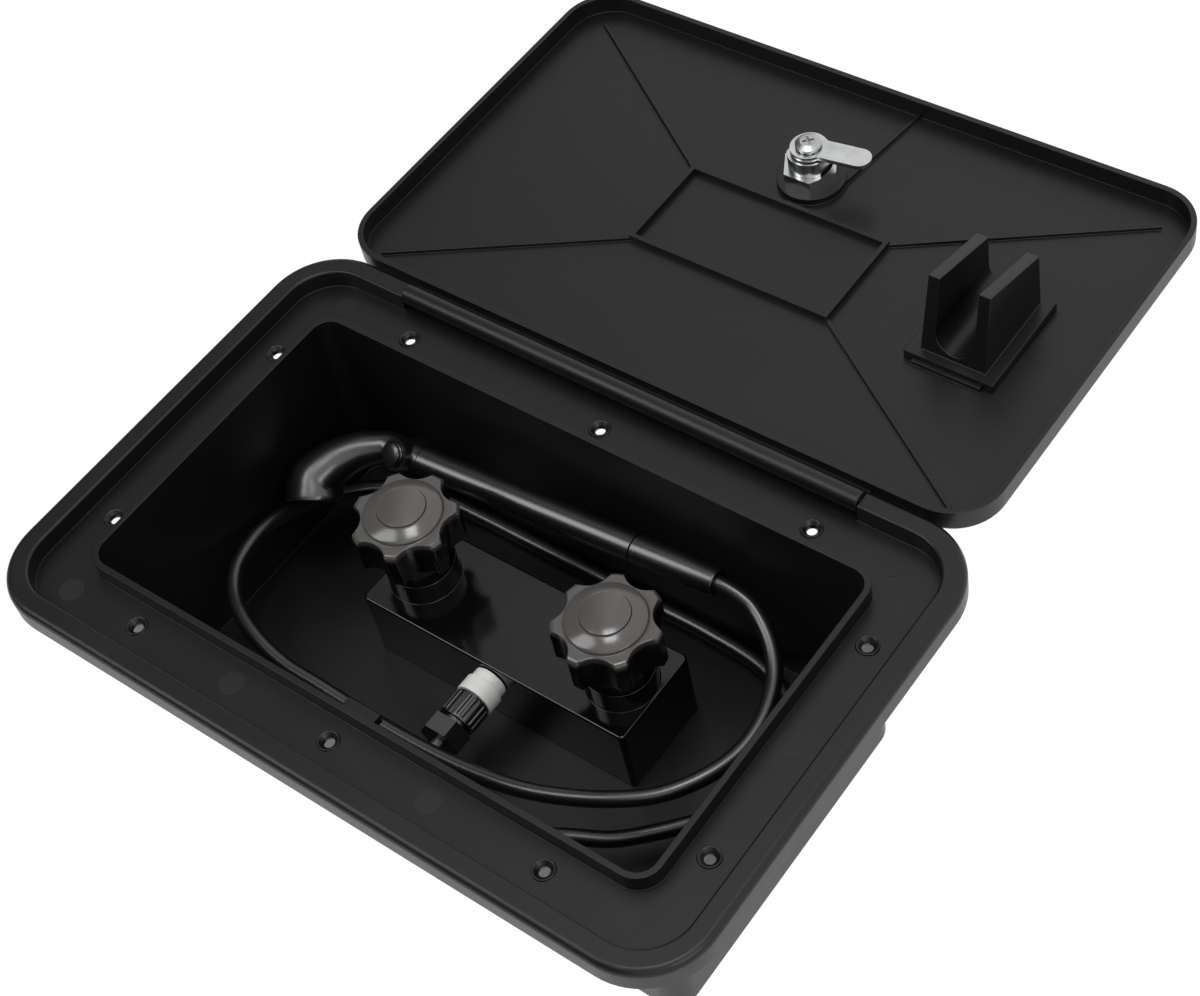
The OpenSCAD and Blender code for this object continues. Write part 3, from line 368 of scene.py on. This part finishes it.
def keep_creases(piece):
    """Sharp creases stay sharp under smooth shading."""
    piece.data.set_sharp_from_angle(angle=math.radians(CREASE))


def head_rings():
    """Rings of the curved head, its rounded rim and the recess for the spray plate."""
    start = HANDLE_START - NECK * HANDLE_DIR
    points = [(*start, HANDLE_R), (*(start - 1.5 * HANDLE_DIR), HANDLE_R)] + HEAD_LINE
    line = smooth_route([Vector(p) for p in points], 2.5)
    rings = []
    for i, p in enumerate(line):
        ahead, behind = line[min(i + 1, len(line) - 1)], line[max(i - 1, 0)]
        rings.append((p.xyz, (ahead.xyz - behind.xyz).normalized(), p.w))
    rings[-1] = (rings[-1][0], FACE_DIR, rings[-1][2])
    face = rings[-1][0]
    for along, radius in HEAD_RIM:
        rings.append((face + along * FACE_DIR, FACE_DIR, radius))
    return rings


wand_head = sweep("wand_head_smooth", head_rings(), 40)
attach(wand_head, "box")
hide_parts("wand_head")


# ---- Flow button, handle and sleeve ----

BUTTON_DIR = Vector((-0.2, -0.72, 0.66)).normalized()
BUTTON_AT = HANDLE_START + 6.5 * HANDLE_DIR
# radius and height along the button's axis, from the skirt up over the ring to the crown
BUTTON_OUTLINE = [(4.1, -2.3), (5.3, -2.3), (5.3, 8.6), (5.0, 8.9), (4.7, 9.1), (4.7, 9.5),
                  (5.1, 9.8), (5.25, 10.3), (5.1, 10.8), (4.5, 11.15), (3.2, 11.4),
                  (1.6, 11.55), (0, 11.6)]


def turned(name, outline, centre, way):
    """A solid of revolution of (radius, height) points in millimetres about way."""
    shape = bmesh.new()
    points = [shape.verts.new((r * MM, 0, z * MM)) for r, z in outline]
    edges = [shape.edges.new(pair) for pair in zip(points, points[1:])]
    bmesh.ops.spin(shape, geom=points + edges, cent=(0, 0, 0), axis=(0, 0, 1),
                   angle=math.tau, steps=48, use_merge=True)
    bmesh.ops.remove_doubles(shape, verts=shape.verts, dist=1e-7)
    bmesh.ops.holes_fill(shape, edges=[edge for edge in shape.edges if edge.is_boundary])
    bmesh.ops.recalc_face_normals(shape, faces=shape.faces)
    turn = way.to_track_quat("Z", "Y").to_matrix().to_4x4()
    bmesh.ops.transform(shape, matrix=Matrix.Translation(centre * MM) @ turn, verts=shape.verts)
    return link_shape(name, shape, wand_abs, smooth=True)


def keep_flats(piece):
    """Flat and straight faces keep their own shading beside rounded edges."""
    flats = piece.modifiers.new("flats", "WEIGHTED_NORMAL")
    flats.keep_sharp = True


def hand_shower_piece(node, body, outline, centre, way):
    """A turned piece that stands for a round node of the hand shower."""
    piece = turned(node + "_turned", outline, centre, way)
    keep_creases(piece)
    keep_flats(piece)
    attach(piece, body)
    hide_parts(node)


hand_shower_piece("flow_button", "button", BUTTON_OUTLINE, BUTTON_AT, BUTTON_DIR)

# distances along the handle, in millimetres: the joint with the valve, the joint with the
# sleeve, the sleeve's far end and the end of the handle's neck inside the sleeve
VALVE_JOINT, SLEEVE_AT, SLEEVE_END, NECK_END = 14.5, 122.8, 161.3, 142
# how far the spigot goes into the valve, and the radii of the neck and of the water way
SPIGOT, NECK_R, WATER_R = 1.3, 5, 2
# radii of the sleeve's bore, its hose hole and its far end, and where its taper starts
BORE_R, HOSE_HOLE_R, SLEEVE_END_R, TAPER_AT = 5.1, 3.7, 5.7, SLEEVE_AT + 21.3
# width of the groove at the joint on the handle's side, and the radius of its bevelled edges
GROOVE, EDGE_R = 0.5, 6.35

handle_outline = [
    (NECK_R, VALVE_JOINT - SPIGOT), (NECK_R, VALVE_JOINT),
    (6.2, VALVE_JOINT), (HANDLE_R, VALVE_JOINT + 0.4),
    (HANDLE_R, SLEEVE_AT - GROOVE), (EDGE_R, SLEEVE_AT - GROOVE + 0.15),
    (NECK_R, SLEEVE_AT - GROOVE + 0.2), (NECK_R, NECK_END),
    (WATER_R, NECK_END), (WATER_R, VALVE_JOINT - SPIGOT)]
hand_shower_piece("wand_handle", "box", handle_outline, HANDLE_START, HANDLE_DIR)
sleeve_outline = [
    (BORE_R, SLEEVE_AT + 0.15), (EDGE_R, SLEEVE_AT + 0.2), (HANDLE_R, SLEEVE_AT + 0.35),
    (HANDLE_R, TAPER_AT), (SLEEVE_END_R + 0.15, SLEEVE_END - 0.8),
    (SLEEVE_END_R - 0.1, SLEEVE_END - 0.3), (SLEEVE_END_R - 0.6, SLEEVE_END),
    (HOSE_HOLE_R, SLEEVE_END), (HOSE_HOLE_R, NECK_END + 3),
    (BORE_R, NECK_END + 3), (BORE_R, SLEEVE_AT + 0.15)]
hand_shower_piece("wand_sleeve", "box", sleeve_outline, HANDLE_START, HANDLE_DIR)


# ---- Moulding marks ----

# where the ejector pins of the mould pressed on the gutter's floor, in millimetres
PIN_MARKS = [(-136, -85), (-49, -84), (48, -84), (136, -83), (145, 1), (135, 85), (-136, 85)]
PIN_MARK_D, PIN_MARK_H = 10.5, 0.07
GUTTER_Z = 2.5


def pin_marks():
    shape = bmesh.new()
    for x, y in PIN_MARKS:
        made = bmesh.ops.create_circle(shape, cap_ends=True, segments=32,
                                       radius=PIN_MARK_D / 2 * MM)
        top = bmesh.ops.extrude_face_region(
            shape, geom=list({face for v in made["verts"] for face in v.link_faces}))["geom"]
        top = [g for g in top if isinstance(g, bmesh.types.BMVert)]
        bmesh.ops.translate(shape, vec=(0, 0, PIN_MARK_H * MM), verts=top)
        bmesh.ops.translate(shape, vec=(x * MM, y * MM, GUTTER_Z * MM), verts=made["verts"] + top)
    bmesh.ops.recalc_face_normals(shape, faces=shape.faces)
    marks = link_shape("pin_marks", shape, pin_abs)
    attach(marks, "box")


pin_marks()


# ---- Rounded edges ----

# middle of the clip's front edge on the door panel, in millimetres
CLIP_AT = Vector((106, 172, 5))
# heights of the walls' top and of the foot, and where the walls' outside and front are
CLIP_TOP, CLIP_FOOT = 39.5, 4
CLIP_HALF_W, CLIP_FRONT = 13.5, 11
# how much wider, and further forward, each wall is at the foot
CLIP_FLARE, CLIP_LEAN = 1, 7
# how near to a face a point lies that belongs to it
CLOSE = 0.1


def flare_walls(shape):
    """Draft of the clip's walls: wider, and further forward, towards the foot."""
    for vert in shape.verts:
        x, y, z = vert.co / MM - CLIP_AT
        drop = (CLIP_TOP - z) / (CLIP_TOP - CLIP_FOOT)
        if z < CLIP_FOOT - CLOSE:
            continue
        shift = Vector((0, 0, 0))
        if abs(abs(x) - CLIP_HALF_W) < CLOSE:
            shift.x = math.copysign(CLIP_FLARE * drop, x)
        if abs(y - CLIP_FRONT) < CLOSE:
            shift.y = -CLIP_LEAN * drop
        bmesh.ops.translate(shape, vec=shift * MM, verts=[vert])


def soften(name, body, slot, width):
    """A copy of a solid with its sharp edges rounded by width millimetres."""
    shape = bmesh.new()
    shape.from_mesh(nodes[name].data)
    bmesh.ops.remove_doubles(shape, verts=shape.verts, dist=2e-6)
    bmesh.ops.dissolve_limit(shape, angle_limit=math.radians(0.3), verts=shape.verts,
                             edges=shape.edges)
    if name == "shower_clip":
        flare_walls(shape)
    piece = link_shape(name + "_soft", shape, nodes[name].material_slots[0].material, smooth=True)
    rounding = piece.modifiers.new("rounding", "BEVEL")
    rounding.width = width * MM
    rounding.segments = 2
    rounding.limit_method = "ANGLE"
    rounding.angle_limit = math.radians(35)
    rounding.use_clamp_overlap = False
    keep_flats(piece)
    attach(piece, body)
    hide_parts(name)


# node, its body, its material slot and the width of its rounded edges in millimetres
SOFT_EDGES = [
    ("housing", "box", "satin_black", 0.25), ("lid", "lid", "satin_black", 0.25),
    ("shower_clip", "lid", "satin_black", 0.35), ("faucet_body", "box", "gloss_black", 0.4),
    ("cold_knob", "cold_valve", "smoke", 0.5), ("hot_knob", "hot_valve", "smoke", 0.5),
    ("outlet_collar", "box", "white_plastic", 0.3), ("outlet_coupling", "box", "gloss_black", 0.3),
]
for edges in SOFT_EDGES:
    soften(*edges)


# ---- Door ribs ----

# the rectangle in the middle of the door stands higher than the ribs that run to its corners
RIB_MIDDLE = Vector((0, 196.9, 5))
RIB_HALF_X, RIB_HALF_Y = 48.5, 23
RIB_W, RIB_H = 2.0, 2.8
# how deep the bars sit in the panel
RIB_SUNK = 0.2


def door_ribs():
    shape = bmesh.new()
    for side in (-1, 1):
        for at, size in (((0, side * RIB_HALF_Y, 0), (2 * RIB_HALF_X + RIB_W, RIB_W)),
                         ((side * RIB_HALF_X, 0, 0), (RIB_W, 2 * RIB_HALF_Y - RIB_W))):
            bar = bmesh.ops.create_cube(shape, size=MM)["verts"]
            bmesh.ops.scale(shape, vec=(*size, RIB_H + RIB_SUNK), verts=bar)
            middle = RIB_MIDDLE + Vector(at) + Vector((0, 0, (RIB_H - RIB_SUNK) / 2))
            bmesh.ops.translate(shape, vec=middle * MM, verts=bar)
    ribs = link_shape("door_ribs", shape, satin_abs)
    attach(ribs, "lid")


door_ribs()


# ---- Stage and light ----

# how bright shiny things see the room: base, its rise towards +X and +Y, and its darkest part
ROOM_BASE, ROOM_X, ROOM_Y = 1.2, 2.2, 1.3
ROOM_DARK = 0.1
# how bright the room lights dull things
ROOM_DIFFUSE = 0.5
# the share of the floor that takes shadows, how white the rest is, and half the floor's width
FLOOR_SHADOW, FLOOR_WHITE, FLOOR_HALF = 0.05, 1.07, 3
FLOOR_BELOW = 0.001


def floor_material():
    """White for what the eye and shiny things see, with a small share that takes shadows."""
    material, tree, _ = start_material("stage_white")
    seen = add(tree, "LightPath")
    any_ray = add(tree, "Math", {0: seen.outputs["Is Camera Ray"],
                                 1: seen.outputs["Is Glossy Ray"]}, operation="MAXIMUM")
    any_ray = add(tree, "Math", {0: any_ray.outputs[0],
                                 1: seen.outputs["Is Transmission Ray"]}, operation="MAXIMUM")
    share = add(tree, "Math", {0: any_ray.outputs[0], 1: 1 - FLOOR_SHADOW},
                operation="MULTIPLY")
    plain = add(tree, "BsdfDiffuse", {"Color": linear("#f7f7f6")})
    white = add(tree, "Emission", {"Color": (1, 1, 1, 1), "Strength": FLOOR_WHITE})
    mix = add(tree, "MixShader", {0: share.outputs[0], 1: plain.outputs[0],
                                  2: white.outputs[0]})
    end_material(tree, mix)
    return material


def make_floor():
    shape = bmesh.new()
    bmesh.ops.create_grid(shape, x_segments=1, y_segments=1, size=FLOOR_HALF)
    bmesh.ops.translate(shape, vec=(0, 0, cad_box[0].z - FLOOR_BELOW), verts=shape.verts)
    link_shape("floor", shape, floor_material())


make_floor()


def area_light(name, place, target, size, power):
    data = bpy.data.lights.new(name, "AREA")
    data.shape = "RECTANGLE"
    data.size, data.size_y = size
    data.energy = power
    lamp = link(bpy.data.objects.new(name, data))
    lamp.location = place
    aim = Vector(target) - Vector(place)
    lamp.rotation_mode = "QUATERNION"
    lamp.rotation_quaternion = aim.to_track_quat("-Z", "Y")


area_light("overhead", (0.05, 0.0, 1.3), (0, 0.05, 0), (0.35, 0.35), 3.5)
area_light("side", (1.1, -0.3, 0.9), (0, 0.05, 0), (0.5, 0.4), 2.5)
area_light("front_left", (-0.52, -0.46, 0.85), (0, 0.02, -0.03), (0.4, 0.8), 4.2)


def soft_world():
    """White for the eye; shiny things see a white room that is darker to the left and front."""
    world = bpy.data.worlds.new("world")
    bpy.context.scene.world = world
    world.use_nodes = True
    tree = world.node_tree
    tree.nodes.clear()
    seen = add(tree, "LightPath")
    shiny = add(tree, "Math", {0: seen.outputs["Is Glossy Ray"],
                               1: seen.outputs["Is Transmission Ray"]}, operation="MAXIMUM")
    way = add(tree, "SeparateXYZ", {0: add(tree, "TexCoord").outputs["Generated"]})
    side = add(tree, "Math", {0: way.outputs["X"], 1: ROOM_X, 2: ROOM_BASE},
               operation="MULTIPLY_ADD")
    level = add(tree, "Math", {0: way.outputs["Y"], 1: ROOM_Y, 2: side.outputs[0]},
                operation="MULTIPLY_ADD")
    level = add(tree, "MapRange", {"Value": level.outputs[0], "From Min": 0.0, "From Max": 1.0,
                                   "To Min": ROOM_DARK, "To Max": 1.0})
    diffuse = add(tree, "Background", {"Color": (1, 1, 1, 1), "Strength": ROOM_DIFFUSE})
    room = add(tree, "Background", {"Color": (1, 1, 1, 1), "Strength": level.outputs[0]})
    white = add(tree, "Background", {"Color": (1, 1, 1, 1), "Strength": 1.0})
    lit = add(tree, "MixShader", {0: shiny.outputs[0], 1: diffuse.outputs[0],
                                  2: room.outputs[0]})
    mix = add(tree, "MixShader", {0: seen.outputs["Is Camera Ray"], 1: lit.outputs[0],
                                  2: white.outputs[0]})
    add(tree, "OutputWorld", {"Surface": mix.outputs[0]})


soft_world()
bpy.context.scene.view_settings.view_transform = "Standard"
